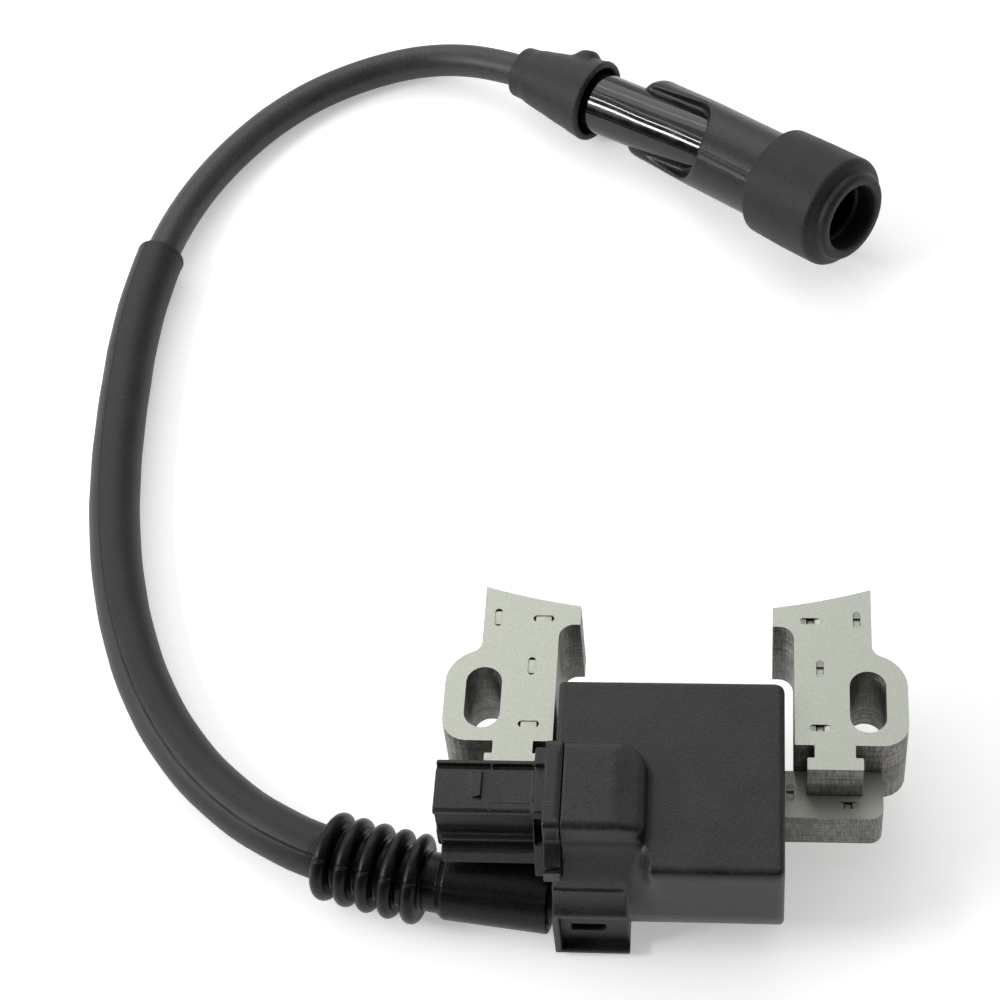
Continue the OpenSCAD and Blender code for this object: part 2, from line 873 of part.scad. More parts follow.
// Glossy insulator tube, bent at the elbow, that holds the cap's inner parts
module cap_tube() {
    color("#0c0c0e")
        difference() {
            union() {
                at_elbow()
                    rod(tube_r, [tube_back, elbow_lap]);
                at_mouth()
                    rod(stub_r, [elbow - elbow_lap, socket_end]);
            }
            at_elbow() {
                rod(bore_r + 0.1, [tube_back - 1, lead_end + gap]);
                rod(resistor_r + gap, [lead_end, elbow_bore_end]);
            }
            at_mouth() {
                rod(resistor_r + 2 * gap, [spring_z[0] - 0.6, socket_end + 1]);
                rod(clip_r + gap, [clip_z[0] - gap, socket_end + 1]);
            }
        }
}

// Moulded body over the tube; an opening in its back end shows the tube
module cap_body() {
    color("#18181a")
        difference() {
            at_mouth() {
                rod(body_r, [body_waist, -mouth_depth]);
                translate([0, 0, body_back + body_taper])
                    cylinder(r1 = body_back_r, r2 = body_r,
                        h = body_waist - body_back - body_taper, $fn = 96);
                translate([0, 0, body_back])
                    cylinder(r1 = body_back_r - 2.8, r2 = body_back_r, h = body_taper, $fn = 96);
            }
            at_mouth() {
                rod(socket_r, [socket_end, 1]);
                rod(stub_r + gap, [elbow - elbow_lap - gap, socket_end + 1]);
            }
            at_elbow() {
                rod(tube_r + gap, [tube_back, elbow_lap + gap]);
                rotate([0, 0, slot_turn]) {
                    translate([-slot_reach, -slot_half, tube_back])
                        cube([slot_reach, 2 * slot_half, slot_end - tube_back]);
                    translate([-slot_reach, 0, slot_end])
                        rotate([0, 90, 0])
                            cylinder(r = slot_half, h = slot_reach, $fn = 96);
                }
            }
        }
}

// Rubber ring around the cap's mouth
module cap_ring() {
    front = -collar_h - ring_bevel;
    color("#1f2022")
        at_mouth()
            difference() {
                union() {
                    rod(cap_r, [ring_back, front]);
                    translate([0, 0, front])
                        cylinder(r1 = cap_r, r2 = cap_r - ring_bevel, h = ring_bevel, $fn = 96);
                    rod(collar_r, [-collar_h - eps, 0]);
                }
                rod(mouth_d / 2, [-mouth_depth - 1, 1]);
                rod(body_r + gap, [ring_back - 1, gap - mouth_depth]);
            }
}

// Screw whose point goes into the lead's conductor
module cap_lead_screw() {
    color("goldenrod")
        at_elbow() {
            rod(resistor_r - 0.2, [lead_end + 2 * gap, resistor_z[0] - gap]);
            rod(spike_r, [lead_end - spike_len, lead_end + 1]);
        }
}

module cap_resistor() {
    color("#8a3b2a")
        at_elbow()
            rod(resistor_r, resistor_z);
}

// Spring between the resistor and the clip: turns of wire joined by two side wires
module cap_spring() {
    turns = 6;
    outer = resistor_r - 0.3;
    step = (spring_z[1] - spring_z[0] - spring_wire) / (turns - 1);
    color("silver")
        at_mouth() {
            for (i = [0 : turns - 1])
                translate([0, 0, spring_z[0] + spring_wire / 2 + i * step])
                    rotate_extrude($fn = 64)
                        translate([outer - spring_wire / 2, 0])
                            circle(spring_wire / 2, $fn = 24);
            for (s = [-1, 1])
                translate([s * (outer - spring_wire / 2), 0, spring_z[0] + spring_wire / 2])
                    cylinder(r = spring_wire / 2, h = (turns - 1) * step, $fn = 24);
        }
}

// Brass clip that snaps over the spark plug's terminal
module cap_plug_clip() {
    color("goldenrod")
        at_mouth()
            difference() {
                rod(clip_r, clip_z);
                rod(clip_bore, [clip_z[0] + clip_floor, clip_z[1] + 1]);
            }
}

left_leg();
right_leg();
yoke();
coil_case();
primary_bobbin();
primary_winding();
secondary_bobbin();
secondary_winding();
igniter_board();
power_transistor();
trigger_chip();
charge_capacitor();
potting();
connector_housing();
signal_pin();
stop_pin();
ground_strap();
ht_terminal();
ht_link();
primary_link();
outlet_boot();
lead_jacket();
lead_conductor();
lead_sleeve();
cap_lead_boot();
cap_tube();
cap_body();
cap_ring();
cap_lead_screw();
cap_resistor();
cap_spring();
cap_plug_clip();
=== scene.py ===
"""Magneto ignition coil: detailed pieces, materials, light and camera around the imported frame.

Shapes are written in millimetres in the part's own frame: X along the two mounting slots,
+Y towards the flywheel, +Z up, z = 0 at the legs' undersides and z = -11 where the part rests.
"""
import math

import bpy
import numpy as np
import openvdb
from mathutils import Matrix, Vector
from mathutils.geometry import tessellate_polygon


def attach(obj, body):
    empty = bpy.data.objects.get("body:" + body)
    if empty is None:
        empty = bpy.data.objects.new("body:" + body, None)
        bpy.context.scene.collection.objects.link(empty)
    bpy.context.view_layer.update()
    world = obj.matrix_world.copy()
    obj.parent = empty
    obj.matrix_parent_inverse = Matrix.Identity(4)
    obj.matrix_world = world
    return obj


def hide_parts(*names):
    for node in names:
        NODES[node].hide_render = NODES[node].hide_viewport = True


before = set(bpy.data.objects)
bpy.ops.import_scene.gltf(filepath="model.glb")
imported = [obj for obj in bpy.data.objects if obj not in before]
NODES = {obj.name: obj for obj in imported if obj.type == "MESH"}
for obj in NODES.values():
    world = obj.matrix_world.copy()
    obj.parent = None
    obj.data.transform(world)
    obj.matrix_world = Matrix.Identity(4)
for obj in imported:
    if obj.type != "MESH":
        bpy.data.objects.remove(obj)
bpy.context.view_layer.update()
MM = 0.001
SCENE = bpy.context.scene
REST_Z = -11.0
FLOOR_GAP = 0.05
RANDOM = np.random.default_rng(7)


# ---------------------------------------------------------------- camera

def make_camera():
    """A long lens in front of the part and above it, looking down and towards the flywheel."""
    data = bpy.data.cameras.new("Camera")
    data.lens = 93.88
    data.sensor_width = 36.0
    data.clip_end = 10.0
    cam = bpy.data.objects.new("Camera", data)
    right = Vector((0.995177, 0.063663, -0.074637))
    up = Vector((-0.005609, 0.796505, 0.604606))
    back = Vector((0.09794, -0.601271, 0.79302))
    cam.matrix_world = Matrix((
        (right.x, up.x, back.x, 0.01577),
        (right.y, up.y, back.y, -0.27689),
        (right.z, up.z, back.z, 0.44818),
        (0, 0, 0, 1)))
    SCENE.collection.objects.link(cam)
    SCENE.camera = cam


make_camera()


# ---------------------------------------------------------------- materials

class Nodes:
    """A short way to write a node tree: each call adds a node and links or sets its inputs."""

    def __init__(self, owner):
        owner.use_nodes = True
        self.owner = owner
        self.tree = owner.node_tree
        self.tree.nodes.clear()

    def add(self, kind, inputs=None, **settings):
        node = self.tree.nodes.new("ShaderNode" + kind)
        for key, value in settings.items():
            setattr(node, key, value)
        for key, value in (inputs or {}).items():
            self.give(node.inputs[key], value)
        return node

    def give(self, socket, value):
        if isinstance(value, bpy.types.NodeSocket):
            self.tree.links.new(value, socket)
        elif socket.type == "RGBA" and len(value) == 3:
            socket.default_value = (*value, 1.0)
        else:
            socket.default_value = value

    def coords(self, scale=(1, 1, 1)):
        where = self.add("TexCoord").outputs["Object"]
        return self.add("Mapping", {"Vector": where, "Scale": scale}).outputs["Vector"]

    def noise(self, size, detail=3.0, rough=0.55, stretch=(1, 1, 1)):
        """Noise from 0 to 1 whose features are about size millimetres across."""
        return self.add("TexNoise", {"Vector": self.coords(stretch), "Scale": 1 / (size * MM),
                                     "Detail": detail, "Roughness": rough}).outputs["Fac"]

    def ramp(self, value, low, high, to_low=0.0, to_high=1.0):
        return self.add("MapRange", {"Value": value, "From Min": low, "From Max": high,
                                     "To Min": to_low, "To Max": to_high}).outputs["Result"]

    def mix(self, fac, a, b):
        node = self.add("Mix", data_type="RGBA")
        for index, value in ((0, fac), (6, a), (7, b)):
            self.give(node.inputs[index], value)
        return node.outputs[2]

    def math(self, operation, a, b=0.0, c=0.0):
        return self.add("Math", {0: a, 1: b, 2: c}, operation=operation).outputs[0]

    def specks(self, spacing, radius, share):
        """Round spots of a radius, one in each of a share of the cells spacing millimetres wide."""
        cells = self.add("TexVoronoi", {"Vector": self.coords(), "Scale": 1 / (spacing * MM)})
        chosen = self.math("LESS_THAN", self.add("SeparateColor", {
            "Color": cells.outputs["Color"]}).outputs[0], share)
        edge = radius / spacing
        return self.math("MULTIPLY", self.ramp(cells.outputs["Distance"], edge, edge * 0.6), chosen)

    def bump(self, height, distance, under=None):
        """Relief of a height of distance millimetres."""
        inputs = {"Height": height, "Distance": distance * MM, "Strength": 1.0}
        if under is not None:
            inputs["Normal"] = under
        return self.add("Bump", inputs).outputs["Normal"]

    def surface(self, color, rough, normal=None, **constant):
        inputs = {"Base Color": color, "Roughness": rough}
        inputs.update({k.replace("_", " "): v for k, v in constant.items()})
        if normal is not None:
            inputs["Normal"] = normal
        shader = self.add("BsdfPrincipled", inputs)
        self.tree.links.new(shader.outputs[0], self.add("OutputMaterial").inputs["Surface"])
        return self.owner


def material(name):
    return Nodes(bpy.data.materials.new(name))


def shades(color, spread):
    return [c * (1 - spread) for c in color], [c * (1 + spread) for c in color]


DUST = (0.30, 0.30, 0.29)


def plastic(name, color, rough, grain=0.34, relief=0.03, dust=0.02, gloss=0.33, spread=0.6):
    """Moulded plastic or rubber: fine grain, faint cloudy patches of gloss, and specks of dust."""
    n = material(name)
    grains = n.noise(grain, 2.0)
    clouds = n.noise(7.0, 4.0)
    patches = n.ramp(clouds, 0.35, 0.65, 0.0, 0.3)
    shade = n.math("ADD", patches, n.ramp(grains, 0.36, 0.64, 0.0, 0.7))
    base = n.mix(shade, *shades(color, spread))
    dusty = n.specks(2.6, 0.11, dust)
    base = n.mix(dusty, base, DUST)
    dull = n.ramp(clouds, 0.3, 0.7, rough * 0.92, rough * 1.08)
    dull = n.math("ADD", dull, n.ramp(grains, 0.3, 0.7, -0.06, 0.06))
    relief_node = n.bump(dusty, 0.05, n.bump(grains, relief))
    return n.surface(base, dull, relief_node, Specular_IOR_Level=gloss)


def metal(name, color, rough, grain=0.3, relief=0.006):
    """Bare metal with fine grain and patches of tarnish."""
    n = material(name)
    grains = n.noise(grain)
    clouds = n.noise(4.0, 4.0)
    base = n.mix(n.ramp(clouds, 0.35, 0.65), *shades(color, 0.12))
    gloss = n.ramp(grains, 0.3, 0.7, rough * 0.85, rough * 1.15)
    return n.surface(base, gloss, n.bump(grains, relief), Metallic=1.0)


def core_face():
    """Flat face of a lamination stack: dull electrical steel with a mottled coating."""
    n = material("core_face")
    grains = n.noise(0.35, 4.0)
    clouds = n.noise(9.0, 3.0)
    base = n.mix(n.ramp(grains, 0.25, 0.75), (0.385, 0.405, 0.352), (0.47, 0.49, 0.43))
    base = n.mix(n.ramp(clouds, 0.4, 0.7, 0.0, 0.25), base, (0.43, 0.44, 0.385))
    base = n.mix(n.specks(3.2, 0.16, 0.05), base, (0.22, 0.21, 0.17))
    gloss = n.ramp(n.noise(0.5), 0.3, 0.7, 0.48, 0.60)
    return n.surface(base, gloss, n.bump(grains, 0.008), Metallic=1.0)


def core_edge():
    """Punched edges of the laminations: darker, with shear marks along Z and spots of oxide."""
    n = material("core_edge")
    shear = n.noise(0.3, 3.0, stretch=(1, 1, 0.12))
    plates = n.noise(0.45, 1.0, stretch=(0.03, 0.03, 1))
    oxide = n.noise(3.5, 4.0)
    base = n.mix(n.ramp(shear, 0.3, 0.7), (0.125, 0.12, 0.115), (0.38, 0.37, 0.345))
    base = n.mix(n.ramp(plates, 0.55, 0.72, 0.0, 0.55), base, (0.07, 0.064, 0.058))
    base = n.mix(n.ramp(oxide, 0.48, 0.7, 0.0, 0.5), base, (0.12, 0.105, 0.092))
    gloss = n.ramp(shear, 0.3, 0.7, 0.42, 0.62)
    relief = n.bump(plates, 0.02, n.bump(shear, 0.03))
    return n.surface(base, gloss, relief, Metallic=1.0)


CORE_FACE = core_face()
CORE_EDGE = core_edge()
CASE = plastic("case_plastic", (0.0135, 0.0135, 0.0138), 0.40,
               relief=0.09, dust=0.03, spread=0.85)
HOUSING = plastic("housing_plastic", (0.012, 0.012, 0.012), 0.36,
                  relief=0.06, dust=0.03, spread=0.8)
BOOT = plastic("boot_rubber", (0.0045, 0.0045, 0.005), 0.34,
               grain=0.5, relief=0.06, dust=0.14, gloss=0.18)
SLEEVE = plastic("sleeve_rubber", (0.0125, 0.0125, 0.0135), 0.50,
                 grain=0.4, relief=0.06, dust=0.04)
JACKET = plastic("lead_rubber", (0.028, 0.028, 0.029), 0.45,
                 grain=0.4, relief=0.05, dust=0.03, gloss=0.4)
RING = plastic("ring_rubber", (0.0135, 0.0135, 0.0135), 0.52,
               grain=0.36, relief=0.09, dust=0.12, gloss=0.27, spread=0.85)
CAP = plastic("cap_plastic", (0.0095, 0.0095, 0.010), 0.33,
              grain=0.45, relief=0.06, spread=0.8)
TUBE = plastic("tube_gloss", (0.004, 0.004, 0.0045), 0.09,
               grain=2.5, relief=0.004, dust=0.0, gloss=0.5)


# ---------------------------------------------------------------- meshes

def piece(name, verts, faces, materials, stands_for, normals=None, slots=None):
    """A mesh from points in millimetres, shown in place of a CAD node, which it hides."""
    mesh = bpy.data.meshes.new(name)
    mesh.from_pydata((np.asarray(verts, dtype=float) * MM).tolist(), [], faces)
    for mat in materials:
        mesh.materials.append(mat)
    mesh.polygons.foreach_set("use_smooth", [normals is not None] * len(mesh.polygons))
    if slots is not None:
        mesh.polygons.foreach_set("material_index", slots)
    mesh.update()
    if normals is not None:
        mesh.normals_split_custom_set_from_vertices(np.asarray(normals).tolist())
    obj = bpy.data.objects.new(name, mesh)
    SCENE.collection.objects.link(obj)
    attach(obj, "root")
    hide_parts(stands_for)
    return obj


def unit(v):
    v = np.asarray(v, dtype=float)
    return v / np.linalg.norm(v, axis=-1, keepdims=True)


class Axes:
    """A local frame: Z along an axis that turns about the world's Z and rises, -X on top."""

    def __init__(self, origin, turn, rise):
        a, b = math.radians(turn), math.radians(rise)
        self.origin = np.array(origin, dtype=float)
        self.z = np.array([math.cos(a) * math.cos(b), math.sin(a) * math.cos(b), math.sin(b)])
        self.y = np.array([-math.sin(a), math.cos(a), 0.0])
        self.x = np.cross(self.y, self.z)

    def at(self, height):
        return self.origin + height * self.z

    def local(self, p):
        d = p - self.origin
        return d @ self.x, d @ self.y, d @ self.z


# ---------------------------------------------------------------- solids from distance fields
# A field takes points (N, 3) in millimetres and gives the distance to a surface, negative inside.

def box_2d(a, b, a_range, b_range, r=0.0):
    """Distance to a rectangle with round corners; r is one radius, or one for each corner in the
    order low low, high low, high high, low high."""
    ha, hb = (a_range[1] - a_range[0]) / 2, (b_range[1] - b_range[0]) / 2
    u, v = a - sum(a_range) / 2, b - sum(b_range) / 2
    if not np.isscalar(r):
        r = np.where(v < 0, np.where(u < 0, r[0], r[1]), np.where(u < 0, r[3], r[2]))
    qa, qb = np.abs(u) - ha + r, np.abs(v) - hb + r
    return np.hypot(np.maximum(qa, 0), np.maximum(qb, 0)) + np.minimum(np.maximum(qa, qb), 0) - r


def slab(a, a_range):
    return np.abs(a - sum(a_range) / 2) - (a_range[1] - a_range[0]) / 2


def meet(a, b, r=0.0):
    """Intersection, with the edge rounded to radius r."""
    if r == 0:
        return np.maximum(a, b)
    return np.minimum(-r, np.maximum(a, b)) + np.hypot(np.maximum(a + r, 0), np.maximum(b + r, 0))


def join(a, b, r=0.0):
    """Union, with the corner filled to radius r."""
    return -meet(-a, -b, r)


def cut(a, b, r=0.0):
    """a without b, with the new edges rounded to radius r."""
    return meet(a, -b, r)


def block(p, x, y, z, r=0.0):
    """A box given by its ranges, with every edge rounded to r."""
    return meet(box_2d(p[:, 0], p[:, 1], x, y, r), slab(p[:, 2], z), r)


def smooth(v, low, high):
    t = np.clip((v - low) / (high - low), 0, 1)
    return t * t * (3 - 2 * t)


def solid(name, field, low, high, step, mat, stands_for, adaptivity=0.0):
    """Meshes a field on a grid, then moves each point onto the surface and takes its normal."""
    low = np.asarray(low, dtype=float)
    count = np.ceil((np.asarray(high, dtype=float) - low) / step).astype(int) + 1
    axes = [low[i] + step * np.arange(count[i]) for i in range(3)]
    yy, zz = np.meshgrid(axes[1], axes[2], indexing="ij")
    values = np.empty(count, np.float32)
    for i, x in enumerate(axes[0]):
        p = np.stack([np.full(yy.size, x), yy.ravel(), zz.ravel()], axis=1)
        values[i] = field(p).reshape(yy.shape)
    grid = openvdb.FloatGrid(3.0 * step)
    grid.copyFromArray(np.clip(values, -3 * step, 3 * step))
    points, triangles, quads = grid.convertToPolygons(isovalue=0.0, adaptivity=adaptivity)
    points = low + points.astype(float) * step

    def slope(p, e=0.01):
        return np.stack([(field(p + d) - field(p - d)) / (2 * e) for d in np.eye(3) * e], axis=1)

    start = points.copy()
    for _ in range(4):
        g = slope(points)
        points = points - g * (field(points) / np.maximum((g * g).sum(axis=1), 0.2))[:, None]
        points = start + np.clip(points - start, -step, step)
    normals = unit(slope(points) + 1e-9)
    faces = [tuple(map(int, f)) for f in triangles] + [tuple(map(int, f)) for f in quads]
    q = np.array([f[:3] for f in faces])
    facing = np.cross(points[q[:, 1]] - points[q[:, 0]], points[q[:, 2]] - points[q[:, 0]])
    if (facing * normals[q[:, 0]]).sum() < 0:
        faces = [f[::-1] for f in faces]
    return piece(name, points, faces, [mat], stands_for, normals)


# ---------------------------------------------------------------- sweeps

def rounded(points, arc=5, closed=True):
    """A polygon with round corners: points are (a, b, radius), walked with the inside on the left.
    Gives the points and the outward normals, twice over at a sharp corner."""
    out, normals = [], []
    count = len(points)
    for i in range(count):
        a, b, r = points[i]
        here = np.array([a, b], dtype=float)
        before = unit(here - np.array(points[i - 1][:2], dtype=float))
        after = unit(np.array(points[(i + 1) % count][:2], dtype=float) - here)
        n0, n1 = np.array([before[1], -before[0]]), np.array([after[1], -after[0]])
        turn = math.atan2(before[0] * after[1] - before[1] * after[0], before @ after)
        ends = not closed and i in (0, count - 1)
        if ends or r == 0 or abs(turn) < 0.02:
            if ends:
                n0 = n1 = n1 if i == 0 else n0
            for n in ([n0] if np.allclose(n0, n1) else [n0, n1]):
                out.append(here)
                normals.append(n)
            continue
        back = r * math.tan(abs(turn) / 2)
        start = here - back * before
        side = 1 if turn > 0 else -1
        centre = start - side * r * n0
        steps = max(2, round(arc * abs(turn) / (math.pi / 2)) + 1)
        for k in range(steps + 1):
            angle = turn * k / steps
            c, s = math.cos(angle), math.sin(angle)
            n = np.array([c * n0[0] - s * n0[1], s * n0[0] + c * n0[1]])
            out.append(centre + side * r * n)
            normals.append(n)
    return np.array(out), np.array(normals)


def sweep(name, path, profile, mat, stands_for, sides=72, swell=None, arc=5):
    """Turns a profile of (distance along the path, radius, corner radius) about a path. The profile
    runs forward along the outside and back along the bore. path gives the point, the heading and
    the upward direction at each distance. swell(s, angle) moves the outside outward; angles count
    from the side, with a quarter turn at the top."""
    points, normals = rounded(profile[::-1], arc)
    s, r = points[:, 0], points[:, 1]
    place, heading, up = path(s)
    side = np.cross(heading, up)
    angle = np.arange(sides) * 2 * math.pi / sides
    around = (np.cos(angle)[None, :, None] * side[:, None, :]
              + np.sin(angle)[None, :, None] * up[:, None, :])
    across = (-np.sin(angle)[None, :, None] * side[:, None, :]
              + np.cos(angle)[None, :, None] * up[:, None, :])
    ns, nr = normals[:, 0][:, None, None], normals[:, 1][:, None, None]
    full = nr * around + ns * heading[:, None, :]
    radius = np.repeat(r[:, None], sides, axis=1)
    if swell is not None:
        e = 0.01
        ss, aa = np.meshgrid(s, angle, indexing="ij")
        outer = np.maximum(nr[..., 0], 0)
        radius = radius + outer * swell(ss, aa)
        by_s = (swell(ss + e, aa) - swell(ss - e, aa)) / (2 * e) * outer
        by_a = (swell(ss, aa + e) - swell(ss, aa - e)) / (2 * e * np.maximum(radius, 1)) * outer
        full = full - by_s[..., None] * heading[:, None, :] - by_a[..., None] * across
    verts = place[:, None, :] + radius[..., None] * around
    rings = len(s)
    faces = []
    for i in range(rings):
        j = (i + 1) % rings
        if np.allclose(points[i], points[j]):
            continue
        for k in range(sides):
            m = (k + 1) % sides
            faces.append((i * sides + k, j * sides + k, j * sides + m, i * sides + m))
    verts = verts.reshape(-1, 3)
    full = unit(full.reshape(-1, 3))
    a, b, c = faces[0][:3]
    if np.cross(verts[b] - verts[a], verts[c] - verts[a]) @ full[a] < 0:
        faces = [f[::-1] for f in faces]
    return piece(name, verts, faces, [mat], stands_for, full)


def straight(axes):
    """A path along a local frame's Z axis, with its -X as the top."""
    def path(s):
        ones = np.ones((len(s), 1))
        return axes.origin + s[:, None] * axes.z, ones * axes.z, ones * -axes.x
    return path


# ---------------------------------------------------------------- laminated core

PLATE = 0.5                       # thickness of one lamination
POLE_Y, POLE_R = 145.43, 125.0


def arc_points(centre, r, start, end, count):
    angles = np.radians(np.linspace(start, end, count))
    return [(centre[0] + r * math.cos(a), centre[1] + r * math.sin(a)) for a in angles]


def apart(points, gap=0.02):
    """The points without those that almost touch the one before."""
    kept = [tuple(points[0])]
    for p in points[1:]:
        if math.dist(p, kept[-1]) > gap:
            kept.append(tuple(p))
    return kept


def leg_outline():
    """Right leg seen from above, counter-clockwise from the tongue's head."""
    def pole(x):
        return POLE_Y - math.sqrt(POLE_R ** 2 - x ** 2)

    corners = [(25.7, -15.45, 0.25), (36.4, -15.45, 0.25), (36.4, -12.8, 0.25), (34.9, -12.8, 0.2),
               (34.9, -10, 0.2), (45.2, -10, 5.0), (45.2, 3.4, 0)]
    low, _ = rounded(corners, closed=False)
    lobe = arc_points((37.5, 3.4), 7.7, 0, 69.9, 18)[1:]
    hollow = arc_points((41.0, 12.98), 2.5, 249.9, 180, 9)[1:]
    face = [(x, pole(x)) for x in np.linspace(38.5, 19.1, 14)]
    shoe, _ = rounded([(19.1, 21.9, 0), (19.1, 17.4, 0.2), (23.3, 17.4, 3.0), (23.3, -10, 0.2),
                       (27.1, -10, 0.2), (27.1, -12.8, 0.2), (25.7, -12.8, 0.2), (25.7, -15.45, 0)],
                      closed=False)
    return apart([*low, *lobe, *hollow, *face, *shoe[1:-1]])


def stadium(x, y, w, length, count=12, lying=False):
    half, r = (length - w) / 2, w / 2
    ends = arc_points((0, half), r, 0, 180, count) + arc_points((0, -half), r, 180, 360, count)
    return [(x - b, y + a) if lying else (x + a, y + b) for a, b in ends]


def dimple_depth(t, arched):
    """Depth of a locking tab along its length, t from 0 in the middle to 1 at its ends: on one face
    of a stack the tab rises to the middle, and on the other it drops to a flat middle."""
    if arched:
        return 0.16 + 0.06 * t + 0.5 * smooth(t, 0.74, 0.95)
    return 0.08 + 0.28 * smooth(1 - t, 0.0, 0.6) + 0.45 * smooth(0.42 - t, 0.0, 0.14)


def stack(name, outline, holes, dimples, top, arched, mirror, stands_for):
    """Stamped laminations: each plate's edge stands a little in or out of its neighbours', with a
    fine groove between plates; dimples show where the plates are locked together."""
    verts, faces, slots = [], [], []
    plates = round(top / PLATE)

    def ring(points, z):
        verts.extend((x, y, z) for x, y in points)
        return len(verts) - len(points)

    def band(a, b, count, slot, inward):
        for k in range(count):
            m = (k + 1) % count
            quad = (a + k, a + m, b + m, b + k)
            faces.append(quad[::-1] if inward else quad)
            slots.append(slot)

    def offset(points, d):
        p = np.array(points)
        edge = unit(np.roll(p, -1, axis=0) - np.roll(p, 1, axis=0))
        return (p + d * np.stack([edge[:, 1], -edge[:, 0]], axis=1)).tolist()

    def wall(points, inward):
        """Rings from bottom to top, with a groove at each joint of two plates."""
        sign = -1 if inward else 1
        first = last = None
        for i in range(plates):
            out = RANDOM.normal(0, 0.012) - (0.05 if RANDOM.random() < 0.08 else 0)
            edges = ((0, -0.05 if i else 0), (0.06, out), (PLATE - 0.06, out),
                     (PLATE, -0.05 if i < plates - 1 else 0))
            for up, d in edges:
                if up == 0 and i:
                    continue
                here = ring(offset(points, sign * d) if d else points, i * PLATE + up)
                if last is not None:
                    band(last, here, len(points), 1, inward)
                last = here
                first = here if first is None else first
        return first, last

    def cap(loops, z, down):
        """The flat face between an outline and the holes in it."""
        flat = [[Vector((x, y, 0)) for x, y in loop] for loop, _ in loops]
        index = [start + k for loop, start in loops for k in range(len(loop))]
        for tri in tessellate_polygon(flat):
            a, b, c = (index[t] for t in tri)
            pa, pb, pc = (np.array(verts[v]) for v in (a, b, c))
            if abs(np.cross(pb - pa, pc - pa)[2]) < 1e-9:
                continue
            up = np.cross(pb - pa, pc - pa)[2] > 0
            faces.append((a, b, c) if up != down else (c, b, a))
            slots.append(0)

    outer = wall(outline, False)
    inner = [(hole, wall(hole, True)) for hole in holes]
    tops = []
    for x, y, lying in dimples:
        edge = stadium(x, y, 1.5, 4.2, 8, lying)
        a = ring(edge, top)
        tops.append((edge, a))
        along = [abs((py - y) if not lying else (px - x)) / 2.1 for px, py in edge]
        deep = dimple_depth(np.array(along), arched)
        low = stadium(x, y, 1.4, 4.1, 8, lying)
        b = len(verts)
        verts.extend((px, py, top - d) for (px, py), d in zip(low, deep))
        band(b, a, len(edge), 2, True)
        # The tab's floor is crossed by ribs between matching points of the two long sides
        rows = 25
        grid = len(verts)
        for k in range(rows):
            t = -1 + 2 * k / (rows - 1)
            depth = float(dimple_depth(np.array([abs(t)]), arched)[0])
            half = 0.7 * math.sqrt(max(0.02, 1 - max(0, (abs(t) * 2.05 - 1.35) / 0.7) ** 2))
            for side in (-half, half):
                px, py = (x + t * 2.05, y - side) if lying else (x + side, y + t * 2.05)
                verts.append((px, py, top - depth))
        for k in range(rows - 1):
            q = (grid + 2 * k, grid + 2 * k + 1, grid + 2 * k + 3, grid + 2 * k + 2)
            faces.append(q)
            steep = abs(verts[q[0]][2] - verts[q[2]][2]) > 0.06
            slots.append(1 if steep else 0)
    cap([(outline, outer[0])] + [(hole, w[0]) for hole, w in inner], 0, True)
    cap([(outline, outer[1])] + [(hole, w[1]) for hole, w in inner] + tops, top, False)
    verts = np.array(verts)
    if mirror:
        verts[:, 0] *= -1
        faces = [f[::-1] for f in faces]
    return piece(name, verts, faces, [CORE_FACE, CORE_EDGE, CORE_EDGE], stands_for, slots=slots)


LEG_DIMPLES = [(35.6, 19, False), (26.5, 18.8, True), (28.3, 7.4, False), (28.2, -6.1, True)]
for side, arched in (("left", True), ("right", False)):
    stack(side + "_leg_stack", leg_outline(), [stadium(37.5, 0, 7.1, 14, 22)], LEG_DIMPLES, 19,
          arched, side == "left", side + "_leg")


def yoke_outline():
    """The back bar, with a T-shaped socket for each leg's tongue and 0.05 mm around the tongue."""
    right = [(40.4, -20.45, 2.4), (40.4, -10.05, 0.4), (34.95, -10.05, 0.1), (34.95, -12.75, 0.1),
             (36.45, -12.75, 0.1), (36.45, -15.5, 0.2), (25.65, -15.5, 0.2), (25.65, -12.75, 0.1),
             (27.05, -12.75, 0.1), (27.05, -10.05, 0.1)]
    left = [(-x, y, r) for x, y, r in reversed(right)]
    points, _ = rounded(left + right)
    return apart(points)


stack("yoke_stack", yoke_outline(), [], [(33.6, -17.6, True), (-33.6, -17.6, True),
      (22.5, -15.2, False)], 9.5, False, False, "yoke")


# ---------------------------------------------------------------- coil case

EXIT = Axes((-22.4, -32.7, -2), 173, 0)


